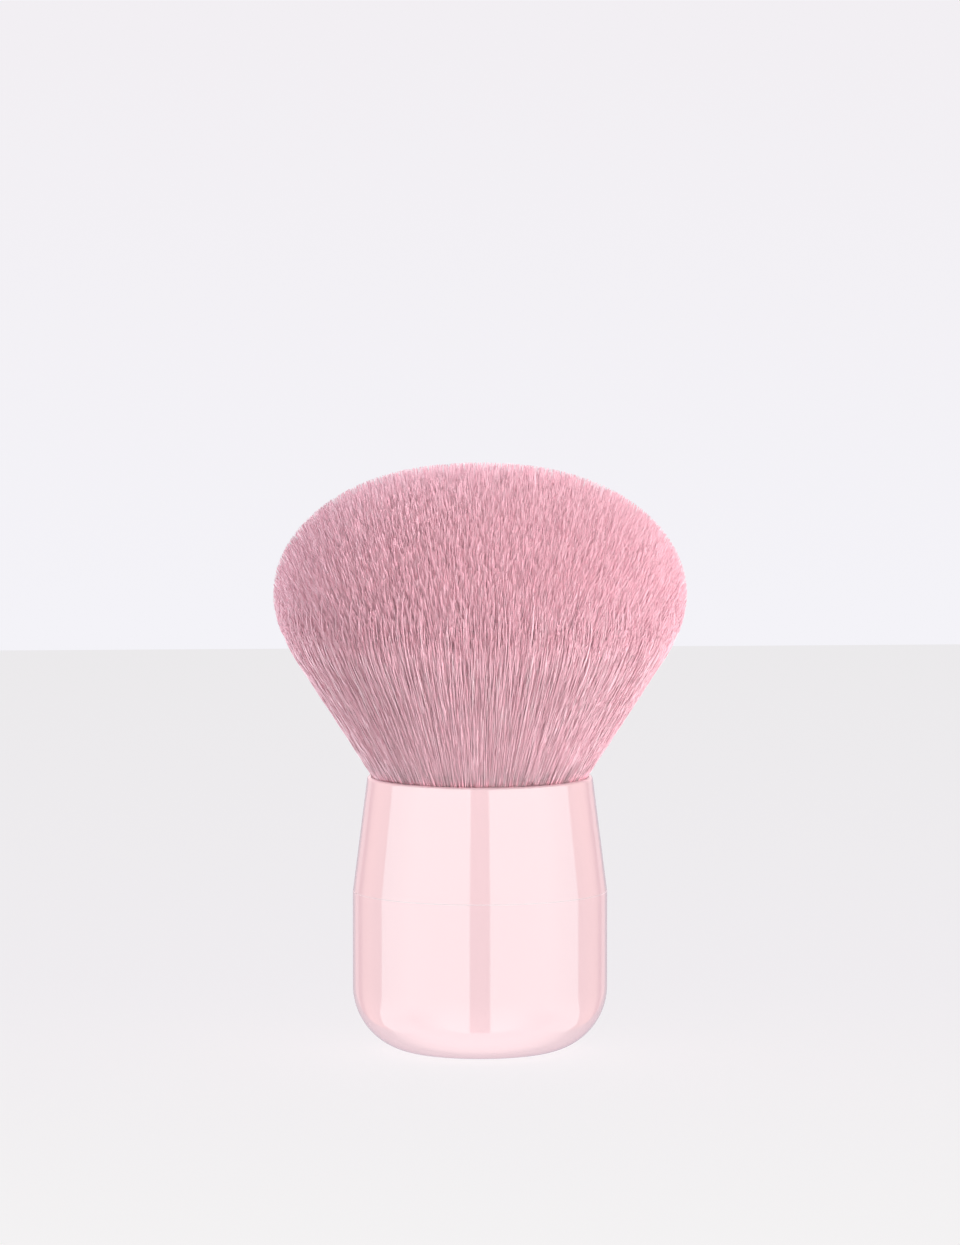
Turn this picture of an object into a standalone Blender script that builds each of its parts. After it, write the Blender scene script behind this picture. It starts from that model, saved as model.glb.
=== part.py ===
"""A nail dust brush: a dense domed tuft of bristles in a short plastic handle that stands on its foot.

Metres, +Z up. The brush is round about Z, and the origin is the centre of its foot.
The handle is two glossy shells: a cup below and a tapered collar above, glued together at a visible line.
The bristles are potted in a thin metal cup inside the collar, and a steel disc low in the handle keeps
the brush upright.
"""

import math

import bmesh
import bpy

# Heights, stacked from the foot up
CUP_HEIGHT = 0.0229
COLLAR_HEIGHT = 0.0161
FLARE_HEIGHT = 0.0262
DOME_HEIGHT = 0.0182

# Outside of the handle
HANDLE_RADIUS = 0.0180
CORNER_RADIUS = 0.0093
COLLAR_TAPER = 0.0021
LIP_THICKNESS = 0.0012
PARTING_CHAMFER = 0.0002

# Outside of the tuft
TUFT_RADIUS = 0.0293
TUFT_BULGE = 0.0016
DOME_EXPONENT = 2.2

# Fits: one clearance between neighbours, and one overrun for shapes that are joined
CLEARANCE = 0.0003
OVERRUN = 0.0003

# Cup: wall, floor and the rib that keeps the weight in the middle
CUP_WALL = 0.0020
FLOOR_THICKNESS = 0.0030
RIB_WALL = 0.0010
RIB_HEIGHT = 0.0019

# Weight: a steel disc on a bed of adhesive
WEIGHT_INSET = 0.0048
WEIGHT_HEIGHT = 0.0055
WEIGHT_CHAMFER = 0.0004
BED_THICKNESS = 0.0005
BED_MARGIN = 0.0008

# Collar: the spigot that enters the cup, its glue groove, and the ledge under the metal cup
SPIGOT_LENGTH = 0.0063
SPIGOT_WALL = 0.0022
SPIGOT_CHAMFER = 0.0005
GROOVE_DEPTH = 0.0008
GROOVE_HEIGHT = 0.0026
GROOVE_DROP = 0.0014
LEDGE_RISE = 0.0016
LEDGE_THICKNESS = 0.0020
LEDGE_WIDTH = 0.0025

# Metal cup that holds the roots
FERRULE_WALL = 0.0004
FERRULE_FLOOR = 0.0005
FERRULE_SETBACK = 0.0024

# Roots: the resin plug, the pad that the bristles are fused to, and the thread tied round it
RESIN_HEIGHT = 0.0040
PAD_HEIGHT = 0.0040
THREAD_THICKNESS = 0.0005
THREAD_WIDTH = 0.0012
THREAD_RISE = 0.0011

# Bristles: locks of filaments in rings about one in the middle, each ring turned on from the last
STRAND_RINGS = 10
STRANDS_PER_RING_STEP = 6
STRAND_SIDES = 3
RING_TURN = math.radians(137.5)
STRAND_ROOT_RADIUS = 0.0004
STRAND_SHOULDER_RADIUS = 0.00085
STRAND_CROWN_RADIUS = 0.00095
STRAND_EDGE = 0.0007
TIP_INSET = 0.0002
BEND_DROP = 0.0012
SHOULDER_SHARE = 0.7
CROWN_SHARE = 0.94

# How finely round shapes are cut
TURN_STEPS = 48
PAD_TURN_STEPS = 24
CORNER_STEPS = 8
INNER_CORNER_STEPS = 5
LIP_STEPS = 6
MERGE_DISTANCE = 0.000001
QUARTER_TURN = math.pi / 2
HALF_TURN = math.pi
FULL_TURN = 2 * math.pi
SHARP_ANGLE = math.radians(35)

# Places that follow from the sizes
PARTING_HEIGHT = CUP_HEIGHT
RIM_HEIGHT = PARTING_HEIGHT + COLLAR_HEIGHT
WIDEST_HEIGHT = RIM_HEIGHT + FLARE_HEIGHT
HALF_CLEARANCE = CLEARANCE / 2

FOOT_RADIUS = HANDLE_RADIUS - CORNER_RADIUS
CUP_BORE_RADIUS = HANDLE_RADIUS - CUP_WALL
INNER_CORNER_RADIUS = CORNER_RADIUS - CUP_WALL
WEIGHT_RADIUS = CUP_BORE_RADIUS - WEIGHT_INSET
RIB_INNER_RADIUS = WEIGHT_RADIUS + CLEARANCE
RIB_OUTER_RADIUS = RIB_INNER_RADIUS + RIB_WALL
BED_BOTTOM = FLOOR_THICKNESS + CLEARANCE
WEIGHT_BOTTOM = BED_BOTTOM + BED_THICKNESS + CLEARANCE

RIM_RADIUS = HANDLE_RADIUS - COLLAR_TAPER
LIP_RADIUS = LIP_THICKNESS / 2
CREST_RADIUS = RIM_RADIUS - LIP_RADIUS
LIP_CENTRE_HEIGHT = RIM_HEIGHT - LIP_RADIUS
SOCKET_RADIUS = RIM_RADIUS - LIP_THICKNESS
SPIGOT_RADIUS = CUP_BORE_RADIUS - CLEARANCE
SPIGOT_BORE_RADIUS = SPIGOT_RADIUS - SPIGOT_WALL
SHOULDER_HEIGHT = PARTING_HEIGHT + HALF_CLEARANCE
SPIGOT_BOTTOM = SHOULDER_HEIGHT - SPIGOT_LENGTH
GROOVE_RADIUS = SPIGOT_RADIUS - GROOVE_DEPTH
GROOVE_TOP = SHOULDER_HEIGHT - GROOVE_DROP
GROOVE_BOTTOM = GROOVE_TOP - GROOVE_HEIGHT
LEDGE_TOP = PARTING_HEIGHT + LEDGE_RISE
LEDGE_BOTTOM = LEDGE_TOP - LEDGE_THICKNESS
LEDGE_BORE_RADIUS = SOCKET_RADIUS - LEDGE_WIDTH

FERRULE_RADIUS = SOCKET_RADIUS - CLEARANCE
FERRULE_BORE_RADIUS = FERRULE_RADIUS - FERRULE_WALL
FERRULE_BOTTOM = LEDGE_TOP + CLEARANCE
FERRULE_FLOOR_TOP = FERRULE_BOTTOM + FERRULE_FLOOR
FERRULE_TOP = RIM_HEIGHT - FERRULE_SETBACK

ROOT_RADIUS = FERRULE_BORE_RADIUS - CLEARANCE
RESIN_BOTTOM = FERRULE_FLOOR_TOP + CLEARANCE
RESIN_TOP = RESIN_BOTTOM + RESIN_HEIGHT
PAD_BOTTOM = RESIN_TOP + CLEARANCE
PAD_TOP = PAD_BOTTOM + PAD_HEIGHT
THREAD_BOTTOM = PAD_BOTTOM + THREAD_RISE
THREAD_TOP = THREAD_BOTTOM + THREAD_WIDTH
THREAD_INNER_RADIUS = ROOT_RADIUS - THREAD_THICKNESS
WAIST_RADIUS = THREAD_INNER_RADIUS - CLEARANCE

STRAND_RING_RADIUS = ROOT_RADIUS - STRAND_EDGE
BEND_HEIGHT = RIM_HEIGHT - BEND_DROP


def clear_scene():
    for obj in list(bpy.data.objects):
        bpy.data.objects.remove(obj, do_unlink=True)


def material(name, colour, roughness, metallic=0.0, coat=0.0):
    made = bpy.data.materials.new(name)
    made.use_nodes = True
    made.diffuse_color = (*colour, 1.0)
    shader = made.node_tree.nodes["Principled BSDF"]
    shader.inputs["Base Color"].default_value = (*colour, 1.0)
    shader.inputs["Roughness"].default_value = roughness
    shader.inputs["Metallic"].default_value = metallic
    shader.inputs["Coat Weight"].default_value = coat
    return made


def glossy_pink_plastic(name):
    return material(name, (0.94, 0.68, 0.72), 0.12, coat=0.5)


def pink_nylon():
    return material("pink_nylon", (0.67, 0.34, 0.41), 0.6)


def bare_aluminium():
    return material("bare_aluminium", (0.80, 0.81, 0.83), 0.35, metallic=1.0)


def zinc_plated_steel():
    return material("zinc_plated_steel", (0.62, 0.63, 0.65), 0.4, metallic=1.0)


def clear_epoxy():
    return material("clear_epoxy", (0.80, 0.70, 0.48), 0.2)


def white_hot_melt():
    return material("white_hot_melt", (0.86, 0.85, 0.80), 0.5)


def joint_cement():
    return material("joint_cement", (0.88, 0.86, 0.82), 0.35)


def cotton_thread():
    return material("cotton_thread", (0.85, 0.80, 0.76), 0.9)


def arc(centre_radius, centre_height, radius, start, end, steps):
    """Outline points on an arc from one angle to another, both ends included. Angle 0 points outward."""
    points = []
    for step in range(steps + 1):
        angle = start + (end - start) * step / steps
        points.append(
            (centre_radius + radius * math.cos(angle), centre_height + radius * math.sin(angle))
        )
    return points


def add_object(name, bm, surface, seat, brush):
    """The shape as a named object that stands at its seat on the axis, under the brush's empty."""
    bmesh.ops.translate(bm, verts=bm.verts, vec=(0, 0, -seat))
    mesh = bpy.data.meshes.new(name)
    bm.to_mesh(mesh)
    bm.free()
    mesh.materials.append(surface)
    mesh.shade_smooth()
    mesh.set_sharp_from_angle(angle=SHARP_ANGLE)
    obj = bpy.data.objects.new(name, mesh)
    bpy.context.scene.collection.objects.link(obj)
    obj.location.z = seat
    obj.parent = brush
    return obj


def turned(name, outline, surface, seat, brush, steps=TURN_STEPS):
    """A solid turned about Z. The outline's (radius, height) points loop, or start and end on the axis."""
    bm = bmesh.new()
    corners = [bm.verts.new((radius, 0, height)) for radius, height in outline]
    edges = [bm.edges.new(pair) for pair in zip(corners, corners[1:])]
    on_axis = outline[0][0] == 0 and outline[-1][0] == 0
    if not on_axis:
        edges.append(bm.edges.new((corners[-1], corners[0])))
    bmesh.ops.spin(
        bm,
        geom=corners + edges,
        axis=(0, 0, 1),
        cent=(0, 0, 0),
        dvec=(0, 0, 0),
        angle=FULL_TURN,
        steps=steps,
    )
    bmesh.ops.remove_doubles(bm, verts=bm.verts, dist=MERGE_DISTANCE)
    # A flat end is one round face, so the fan about its middle is dissolved.
    middles = [vert for vert in bm.verts if vert.co.xy.length < MERGE_DISTANCE]
    bmesh.ops.dissolve_verts(bm, verts=middles)
    bmesh.ops.recalc_face_normals(bm, faces=bm.faces)
    return add_object(name, bm, surface, seat, brush)


def disc(name, radius, bottom, top, surface, brush, chamfer=0.0):
    outline = [(0, top)]
    if chamfer:
        outline += [(radius - chamfer, top), (radius, top - chamfer)]
        outline += [(radius, bottom + chamfer), (radius - chamfer, bottom)]
    else:
        outline += [(radius, top), (radius, bottom)]
    outline.append((0, bottom))
    return turned(name, outline, surface, bottom, brush)


def ring(name, inner_radius, outer_radius, bottom, top, surface, brush):
    outline = [(inner_radius, top), (outer_radius, top), (outer_radius, bottom), (inner_radius, bottom)]
    return turned(name, outline, surface, bottom, brush)


def inner_corner_angle(radius):
    """The angle at which the cup's inner corner reaches this radius."""
    return -math.acos((radius - FOOT_RADIUS) / INNER_CORNER_RADIUS)


def base_cup(brush):
    rib_foot_angle = inner_corner_angle(RIB_OUTER_RADIUS)
    inner_corner = arc(
        FOOT_RADIUS, CORNER_RADIUS, INNER_CORNER_RADIUS, rib_foot_angle, 0, INNER_CORNER_STEPS
    )
    rib_top = inner_corner[0][1] + RIB_HEIGHT
    rim = PARTING_HEIGHT - HALF_CLEARANCE
    outline = [
        (0, FLOOR_THICKNESS),
        (RIB_INNER_RADIUS, FLOOR_THICKNESS),
        (RIB_INNER_RADIUS, rib_top),
        (RIB_OUTER_RADIUS, rib_top),
    ]
    outline += inner_corner
    outline += [
        (CUP_BORE_RADIUS, rim),
        (HANDLE_RADIUS - PARTING_CHAMFER, rim),
        (HANDLE_RADIUS, rim - PARTING_CHAMFER),
    ]
    outline += arc(FOOT_RADIUS, CORNER_RADIUS, CORNER_RADIUS, 0, -QUARTER_TURN, CORNER_STEPS)
    outline.append((0, 0))
    return turned("base_cup", outline, glossy_pink_plastic("cup_plastic"), 0, brush)


def collar(brush):
    outline = arc(CREST_RADIUS, LIP_CENTRE_HEIGHT, LIP_RADIUS, HALF_TURN, 0, LIP_STEPS)
    outline += [
        (HANDLE_RADIUS, SHOULDER_HEIGHT + PARTING_CHAMFER),
        (HANDLE_RADIUS - PARTING_CHAMFER, SHOULDER_HEIGHT),
        (SPIGOT_RADIUS, SHOULDER_HEIGHT),
        (SPIGOT_RADIUS, GROOVE_TOP),
        (GROOVE_RADIUS, GROOVE_TOP),
        (GROOVE_RADIUS, GROOVE_BOTTOM),
        (SPIGOT_RADIUS, GROOVE_BOTTOM),
        (SPIGOT_RADIUS, SPIGOT_BOTTOM + SPIGOT_CHAMFER),
        (SPIGOT_RADIUS - SPIGOT_CHAMFER, SPIGOT_BOTTOM),
        (SPIGOT_BORE_RADIUS, SPIGOT_BOTTOM),
        (SPIGOT_BORE_RADIUS, LEDGE_BOTTOM),
        (LEDGE_BORE_RADIUS, LEDGE_BOTTOM),
        (LEDGE_BORE_RADIUS, LEDGE_TOP),
        (SOCKET_RADIUS, LEDGE_TOP),
    ]
    surface = glossy_pink_plastic("collar_plastic")
    return turned("collar", outline, surface, SHOULDER_HEIGHT, brush)


def joint_adhesive(brush):
    """The ring of cement that fills the spigot's groove and bonds it to the cup's wall."""
    return ring(
        "joint_adhesive",
        GROOVE_RADIUS + CLEARANCE,
        SPIGOT_RADIUS,
        GROOVE_BOTTOM + CLEARANCE,
        GROOVE_TOP - CLEARANCE,
        joint_cement(),
        brush,
    )


def weight_disc(brush):
    top = WEIGHT_BOTTOM + WEIGHT_HEIGHT
    surface = zinc_plated_steel()
    return disc("weight_disc", WEIGHT_RADIUS, WEIGHT_BOTTOM, top, surface, brush, WEIGHT_CHAMFER)


def weight_adhesive(brush):
    radius = WEIGHT_RADIUS - BED_MARGIN
    top = BED_BOTTOM + BED_THICKNESS
    return disc("weight_adhesive", radius, BED_BOTTOM, top, white_hot_melt(), brush)


def ferrule_cup(brush):
    outline = [
        (0, FERRULE_FLOOR_TOP),
        (FERRULE_BORE_RADIUS, FERRULE_FLOOR_TOP),
        (FERRULE_BORE_RADIUS, FERRULE_TOP),
        (FERRULE_RADIUS, FERRULE_TOP),
        (FERRULE_RADIUS, FERRULE_BOTTOM + FERRULE_WALL),
        (FERRULE_RADIUS - FERRULE_WALL, FERRULE_BOTTOM),
        (0, FERRULE_BOTTOM),
    ]
    return turned("ferrule_cup", outline, bare_aluminium(), FERRULE_BOTTOM, brush)


def resin_plug(brush):
    return disc("resin_plug", ROOT_RADIUS, RESIN_BOTTOM, RESIN_TOP, clear_epoxy(), brush)


def binding_thread(brush):
    return ring(
        "binding_thread",
        THREAD_INNER_RADIUS,
        ROOT_RADIUS,
        THREAD_BOTTOM,
        THREAD_TOP,
        cotton_thread(),
        brush,
    )


def dome_point(share):
    """Radius and height on the dome, from its top at share 0 down to the widest point at share 1."""
    angle = share * QUARTER_TURN
    power = 2 / DOME_EXPONENT
    return (
        (TUFT_RADIUS - TIP_INSET) * math.sin(angle) ** power,
        WIDEST_HEIGHT + DOME_HEIGHT * math.cos(angle) ** power,
    )


def strand_path(share):
    """A strand's centre line in its radial plane, as radius, height and the strand's own radius there."""
    root_radius = share * STRAND_RING_RADIUS
    tip_radius, tip_height = dome_point(share)
    run = tip_radius - root_radius
    rise = tip_height - BEND_HEIGHT
    bow = TUFT_BULGE * share**2 / math.hypot(run, rise)
    path = [
        (root_radius, PAD_TOP - OVERRUN, STRAND_ROOT_RADIUS),
        (root_radius, PAD_TOP, STRAND_ROOT_RADIUS),
        (root_radius, BEND_HEIGHT, STRAND_ROOT_RADIUS),
    ]
    swellings = [(SHOULDER_SHARE, STRAND_SHOULDER_RADIUS), (CROWN_SHARE, STRAND_CROWN_RADIUS)]
    for way_share, width in swellings:
        bowed = bow * math.sin(way_share * HALF_TURN)
        path.append(
            (
                root_radius + way_share * run + bowed * rise,
                BEND_HEIGHT + way_share * rise - bowed * run,
                width,
            )
        )
    path.append((tip_radius, tip_height, 0))
    return path


def lean_at(path, place):
    """How far the centre line leans outward from vertical at one of its points."""
    before = path[max(place - 1, 0)]
    after = path[place + 1]
    return math.atan2(after[0] - before[0], after[1] - before[1])


def turned_point(bm, radius, across, height, turn):
    """A corner at this radius and this far to the side of its radial plane, turned about Z."""
    x = radius * math.cos(turn) - across * math.sin(turn)
    y = radius * math.sin(turn) + across * math.cos(turn)
    return bm.verts.new((x, y, height))


def add_strand(bm, share, turn):
    """One closed strand: rings of corners from the root to the crown, then a point."""
    path = strand_path(share)
    rings = []
    for place, (radius, height, width) in enumerate(path[:-1]):
        lean = lean_at(path, place)
        corners = []
        for side in range(STRAND_SIDES):
            angle = FULL_TURN * side / STRAND_SIDES
            outward = width * math.cos(angle)
            across = width * math.sin(angle)
            corner_radius = radius + outward * math.cos(lean)
            corner_height = height - outward * math.sin(lean)
            corners.append(turned_point(bm, corner_radius, across, corner_height, turn))
        rings.append(corners)
    tip_radius, tip_height, _ = path[-1]
    tip = turned_point(bm, tip_radius, 0, tip_height, turn)
    bm.faces.new(rings[0][::-1])
    for side in range(STRAND_SIDES):
        following = (side + 1) % STRAND_SIDES
        for lower, upper in zip(rings, rings[1:]):
            bm.faces.new((lower[side], lower[following], upper[following], upper[side]))
        bm.faces.new((rings[-1][side], rings[-1][following], tip))


def strand_bundle(surface, brush):
    """All the strands as separate closed bodies. It is a helper that the root pad is joined to."""
    bm = bmesh.new()
    add_strand(bm, 0, 0)
    for number in range(1, STRAND_RINGS + 1):
        count = STRANDS_PER_RING_STEP * number
        for place in range(count):
            add_strand(bm, number / STRAND_RINGS, FULL_TURN * place / count + RING_TURN * number)
    bundle = add_object("strand_bundle", bm, surface, PAD_BOTTOM, brush)
    bundle.hide_render = True
    bundle.display_type = "WIRE"
    return bundle


def bristle_tuft(brush):
    outline = [
        (0, PAD_TOP),
        (ROOT_RADIUS, PAD_TOP),
        (ROOT_RADIUS, THREAD_TOP + CLEARANCE),
        (WAIST_RADIUS, THREAD_TOP + CLEARANCE),
        (WAIST_RADIUS, THREAD_BOTTOM - CLEARANCE),
        (ROOT_RADIUS, THREAD_BOTTOM - CLEARANCE),
        (ROOT_RADIUS, PAD_BOTTOM),
        (0, PAD_BOTTOM),
    ]
    surface = pink_nylon()
    tuft = turned("bristle_tuft", outline, surface, PAD_BOTTOM, brush, PAD_TURN_STEPS)
    joined = tuft.modifiers.new("fuse_strands", "BOOLEAN")
    joined.operation = "UNION"
    joined.solver = "EXACT"
    joined.object = strand_bundle(surface, brush)
    return tuft


def main():
    clear_scene()
    brush = bpy.data.objects.new("nail_dust_brush", None)
    bpy.context.scene.collection.objects.link(brush)
    base_cup(brush)
    weight_adhesive(brush)
    weight_disc(brush)
    collar(brush)
    joint_adhesive(brush)
    ferrule_cup(brush)
    resin_plug(brush)
    binding_thread(brush)
    bristle_tuft(brush)


main()
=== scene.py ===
"""The looks of a nail dust brush: a dense dome of soft pink bristles in a glossy pale pink handle.

Metres, +Z up. The brush is round about Z and stands at the origin, and the camera looks along +Y.
"""

import math

import bmesh
import bpy
import numpy as np
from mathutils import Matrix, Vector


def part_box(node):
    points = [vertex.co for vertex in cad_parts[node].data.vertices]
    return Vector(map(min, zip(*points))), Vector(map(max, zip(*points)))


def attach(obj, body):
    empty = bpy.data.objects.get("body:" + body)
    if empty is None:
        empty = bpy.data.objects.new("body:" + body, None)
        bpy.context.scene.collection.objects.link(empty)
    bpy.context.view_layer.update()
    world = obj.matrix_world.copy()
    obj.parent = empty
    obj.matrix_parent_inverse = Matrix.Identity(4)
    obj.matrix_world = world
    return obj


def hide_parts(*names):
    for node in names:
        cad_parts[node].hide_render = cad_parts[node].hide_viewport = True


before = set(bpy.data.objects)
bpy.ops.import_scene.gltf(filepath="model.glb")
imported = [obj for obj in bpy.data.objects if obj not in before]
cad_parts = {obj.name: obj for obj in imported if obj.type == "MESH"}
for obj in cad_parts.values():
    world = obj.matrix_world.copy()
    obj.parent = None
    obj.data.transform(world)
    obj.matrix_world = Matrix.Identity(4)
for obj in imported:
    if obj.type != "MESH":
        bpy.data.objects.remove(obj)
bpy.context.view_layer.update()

BAKE_MAP = "OFBake"
SEED = 7
HALF_TURN = math.pi
QUARTER_TURN = math.pi / 2
FULL_TURN = 2 * math.pi
GOLDEN_TURN = math.pi * (3 - math.sqrt(5))
HALF_TURN_DEGREES = 180

# Places read from the CAD model
HANDLE_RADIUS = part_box("base_cup")[1].x
RIM_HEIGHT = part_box("collar")[1].z
SPIGOT_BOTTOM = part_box("collar")[0].z
FERRULE_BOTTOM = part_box("ferrule_cup")[0].z
TUFT_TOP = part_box("bristle_tuft")[1].z

# Handle, as in the CAD model
PARTING_HEIGHT = 0.0229
CORNER_RADIUS = 0.0093
COLLAR_TAPER = 0.0021
SOCKET_WALL = 0.0012
CUP_WALL = 0.0020
FLOOR_THICKNESS = 0.0030
SPIGOT_WALL = 0.0022
CLEARANCE = 0.0003
LEDGE_THICKNESS = 0.0020
LEDGE_WIDTH = 0.0025

# Handle, finer than in the CAD model
CUP_EDGE_FILLET = 0.00006
COLLAR_EDGE_FILLET = 0.00004
PARTING_GAP = 0.000002
PARTING_STEP = 0.00004
LIP_RISE = 0.00018
LIP_FILLET = 0.0005
LIP_ROUNDING = math.radians(75)
LIP_EDGE = 0.00006
LIP_SLACK = 0.00003
SUPPORT = 0.0004
TURN_STEPS = 256
ARC_STEPS = 24
SHARP_ANGLE = math.radians(35)
MERGE_DISTANCE = 0.000001

# Outline of the tuft
TUFT_RADIUS = 0.02925
WIDEST_HEIGHT = RIM_HEIGHT + 0.0262
DOME_EXPONENT_OUT = 2.31
DOME_EXPONENT_UP = 1.92
FLANK_END_RADIUS = 0.0262
FLANK_END_HEIGHT = RIM_HEIGHT + 0.0170
MOUTH_RADIUS = 0.0152
PROFILE_STEPS = 120

# Bristles: fibres that fan out from one centre below the rim, and bend a little below it
FIBRES = 168000
FIBRE_RADIUS = 0.000042
FIBRE_SIDES = 3
BEND_HEIGHT = RIM_HEIGHT - 0.0010
JITTER_SHARE = 0.35
DRIFT_IN = 0.009
DRIFT_ROUND = 0.012
LEAST_SLOPE = 0.000001
BASE_INSET_SHARE = 0.018
WAVE = 0.00002
WAVE_CYCLES = (2, 5)

# How far the tips lie under the outline: some fibres are long, and the rest end deeper
LONG_SHARE = 0.13
LONG_DEPTH = 0.0010
LONG_DEPTH_POWER = 3.0
SHORT_DEPTH = 0.0018
EDGE_DEPTH = 0.0070
EDGE_DEPTH_POWER = 2
EDGE_SHARES = (0.82, 0.99)

# Thickness along a fibre: it swells from its root and tapers to its tip
ROOT_THICKNESS_SHARE = 0.80
TIP_THICKNESS_SHARE = 0.75
SWELL_PACE = 3
TAPER_LENGTH = 0.0020

# Fibres of the flank are whole, from the socket up, and those of the crown are only their ends
FLANK_SHARE = 0.93
FLANK_RING_SHARES = (0.0, 0.25, 0.50, 0.75, 0.95, 0.998)
CROWN_RING_DEPTHS = (0.0100, 0.00008)
CROWN_FIBRES_PER_PIECE = 18000
FLANK_FIBRES_PER_PIECE = 5500

# Strands: fibres of the flank that rise a little out of the mass and dip back
STRANDS = 15000
STRAND_TOP = RIM_HEIGHT + 0.0250
STRAND_RADIUS = 0.000055
STRANDS_PER_PIECE = 5000
STRAND_RINGS = 6
STRAND_HALF_LENGTHS = (0.0025, 0.0060)
STRAND_DEPTH = 0.00040
STRAND_DIP = 0.00040
STRAND_SINK = 0.00015
STRAND_LEAN = math.radians(1.5)

# Core: the mass of fibres just under the ones that show
CORE_DEPTH = 0.0038
CORE_STEPS = 96
CORE_INSET_POWER = 4

# The map: a strip across it for each tint, with a margin on each side, and fibres run up it
TINTS = 64
STRIP_MARGIN_SHARE = 0.1
# A level direction, which no fibre follows
SIDE_HINT = (0.31, 0.95, 0.0)

# Tint of a fibre, from 0 for the darkest to 1 for the palest: its mean and its spread
# Short fibres end deeper, in the shade, so their tints are paler than those of long ones: painted light
# that lifts the shade in the gaps
LONG_TINT = (0.36, 0.20)
SHORT_TINT = (0.60, 0.09)
STRAND_TINT = (0.55, 0.22)
PALEST_TINT = 0.999
TINT_COLOURS = [
    (0.0, (0.66, 0.310, 0.385)),
    (0.3, (0.84, 0.465, 0.545)),
    (0.7, (0.90, 0.540, 0.620)),
    (1.0, (0.98, 0.700, 0.755)),
]
# Colours of the mass under the outer fibres, darker than the fibres themselves: painted shade deep in the
# tuft
CORE_SHADE_COLOURS = [
    (0.3, (0.42, 0.17, 0.23)),
    (0.7, (0.66, 0.33, 0.40)),
]

# Flecks: cells of noise across the map and up it, and how much they darken or lighten a fibre: random tone
# along it, and small painted glints where it is lightest
FLECKS_ACROSS = 300.0
FLANK_FLECKS_ALONG = 34.0
CROWN_FLECKS_ALONG = 5.0
FLECK_RANGE = (0.3, 0.7)
FLECK_TONE_AND_GLINT = (0.91, 1.05)
CORE_STREAKS = (420.0, 12.0)

# Painted light and shade along a fibre, from its root to its tip: on the flank lighter right at the root,
# where the lip shades it, and darker low down; in the crown lighter below the tips, where the gaps are in
# shade
FLANK_PAINTED_LIGHT = [
    (0.0, (1.30, 1.05, 1.10)),
    (0.03, (1.22, 1.02, 1.06)),
    (0.10, (0.795, 0.795, 0.795)),
    (0.75, (0.90, 0.90, 0.90)),
    (1.0, (0.98, 0.98, 0.98)),
]
CROWN_PAINTED_LIGHT = [
    (0.70, (1.06, 1.20, 1.18)),
    (0.93, (1.02, 1.07, 1.06)),
    (1.0, (0.98, 0.96, 0.96)),
]

# Plastics, metals and glues: the grain's detail, its part in the gloss, and the painted highlight at the
# seam
GRAIN_DETAIL = 4.0
GLOSS_SPREAD_SHARE = 0.2
SEAM_HIGHLIGHT_WIDTH = 0.00014
SEAM_HIGHLIGHT_COLOUR = (1.0, 0.82, 0.85)

# Camera
CAMERA_DISTANCE = 1.600
CAMERA_ELEVATION = math.radians(5.55)
CAMERA_LENS = 327.6
CAMERA_SENSOR = 36.0
CLIP_START = 0.1
CLIP_END = 10.0
AIM_HEIGHT = 0.0609

# Table top, with its colour from near to far, lighter near and darker far off as painted light, of which
# the shade share is lit and the rest glows so that shadows on it stay faint
FLOOR_BACK = 0.576
FLOOR_FRONT = 1.200
FLOOR_HALF_WIDTH = 1.000
FLOOR_TURN = math.radians(3.7)
FLOOR_COLOUR_START = -0.19
FLOOR_SHADE_SHARE = 0.16
FLOOR_COLOURS = [
    (0.0, (0.976, 0.963, 0.967)),
    (0.35, (0.935, 0.912, 0.938)),
    (1.0, (0.901, 0.886, 0.900)),
]

# The wall behind the table, by elevation in degrees
WALL_COLOURS = [
    (-5.6, (0.905, 0.896, 0.939)),
    (-2.6, (0.888, 0.863, 0.896)),
]

# Soft light from all round, weaker overhead, by the height of its direction
SOFT_LIGHT = [
    (0.09, (1.345, 1.345, 1.345)),
    (0.72, (0.33, 0.33, 0.34)),
]

# Lamps for the bristles: name, azimuth and elevation in degrees, size, power and colour
LAMP_DISTANCE = 1.2
LAMPS = [
    ("key_softbox", 44, 10, 0.4, 15.2, (1.0, 0.97, 0.96)),
    ("cool_fill", -76, 5, 0.5, 7.4, (0.88, 0.96, 1.0)),
    ("left_rim", -130, 5, 0.5, 17.0, (0.62, 1.0, 1.0)),
    ("right_rim", 80, 40, 1.0, 5.2, (0.84, 1.0, 1.0)),
]

# What a mirror-like surface sees, by turn in degrees from straight behind the camera
SOFTBOX_END = 99.8
SIDE_START = 101.4
SOFTBOX = (4.7, 5.0, 4.8)
SOFTBOX_EDGE = (3.2, 3.3, 3.2)
SIDE = (1.75, 1.05, 0.95)
SIDE_END = (1.33, 0.78, 0.74)
FLAG = (0.74, 0.36, 0.39)
REAR = (1.04, 0.74, 0.77)
REAR_SIDE = (0.95, 0.65, 0.68)
REAR_MIDDLE = (0.86, 0.72, 0.74)
STUDIO_COLOURS = [
    (65.0, SOFTBOX),
    (SOFTBOX_END, SOFTBOX_EDGE),
    (SIDE_START, SIDE),
    (120.0, SIDE),
    (132.0, SIDE_END),
    (138.0, FLAG),
    (143.0, FLAG),
    (147.0, REAR),
    (155.0, REAR),
    (161.0, REAR_SIDE),
    (168.0, REAR_MIDDLE),
]

# The gap between the softboxes, whose colour gives way to theirs between two turns in degrees
GAP_COLOUR = (2.55, 1.62, 1.55)
GAP_START = 8.4
GAP_END = 9.8
GAP_POWER = 0.35

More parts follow.
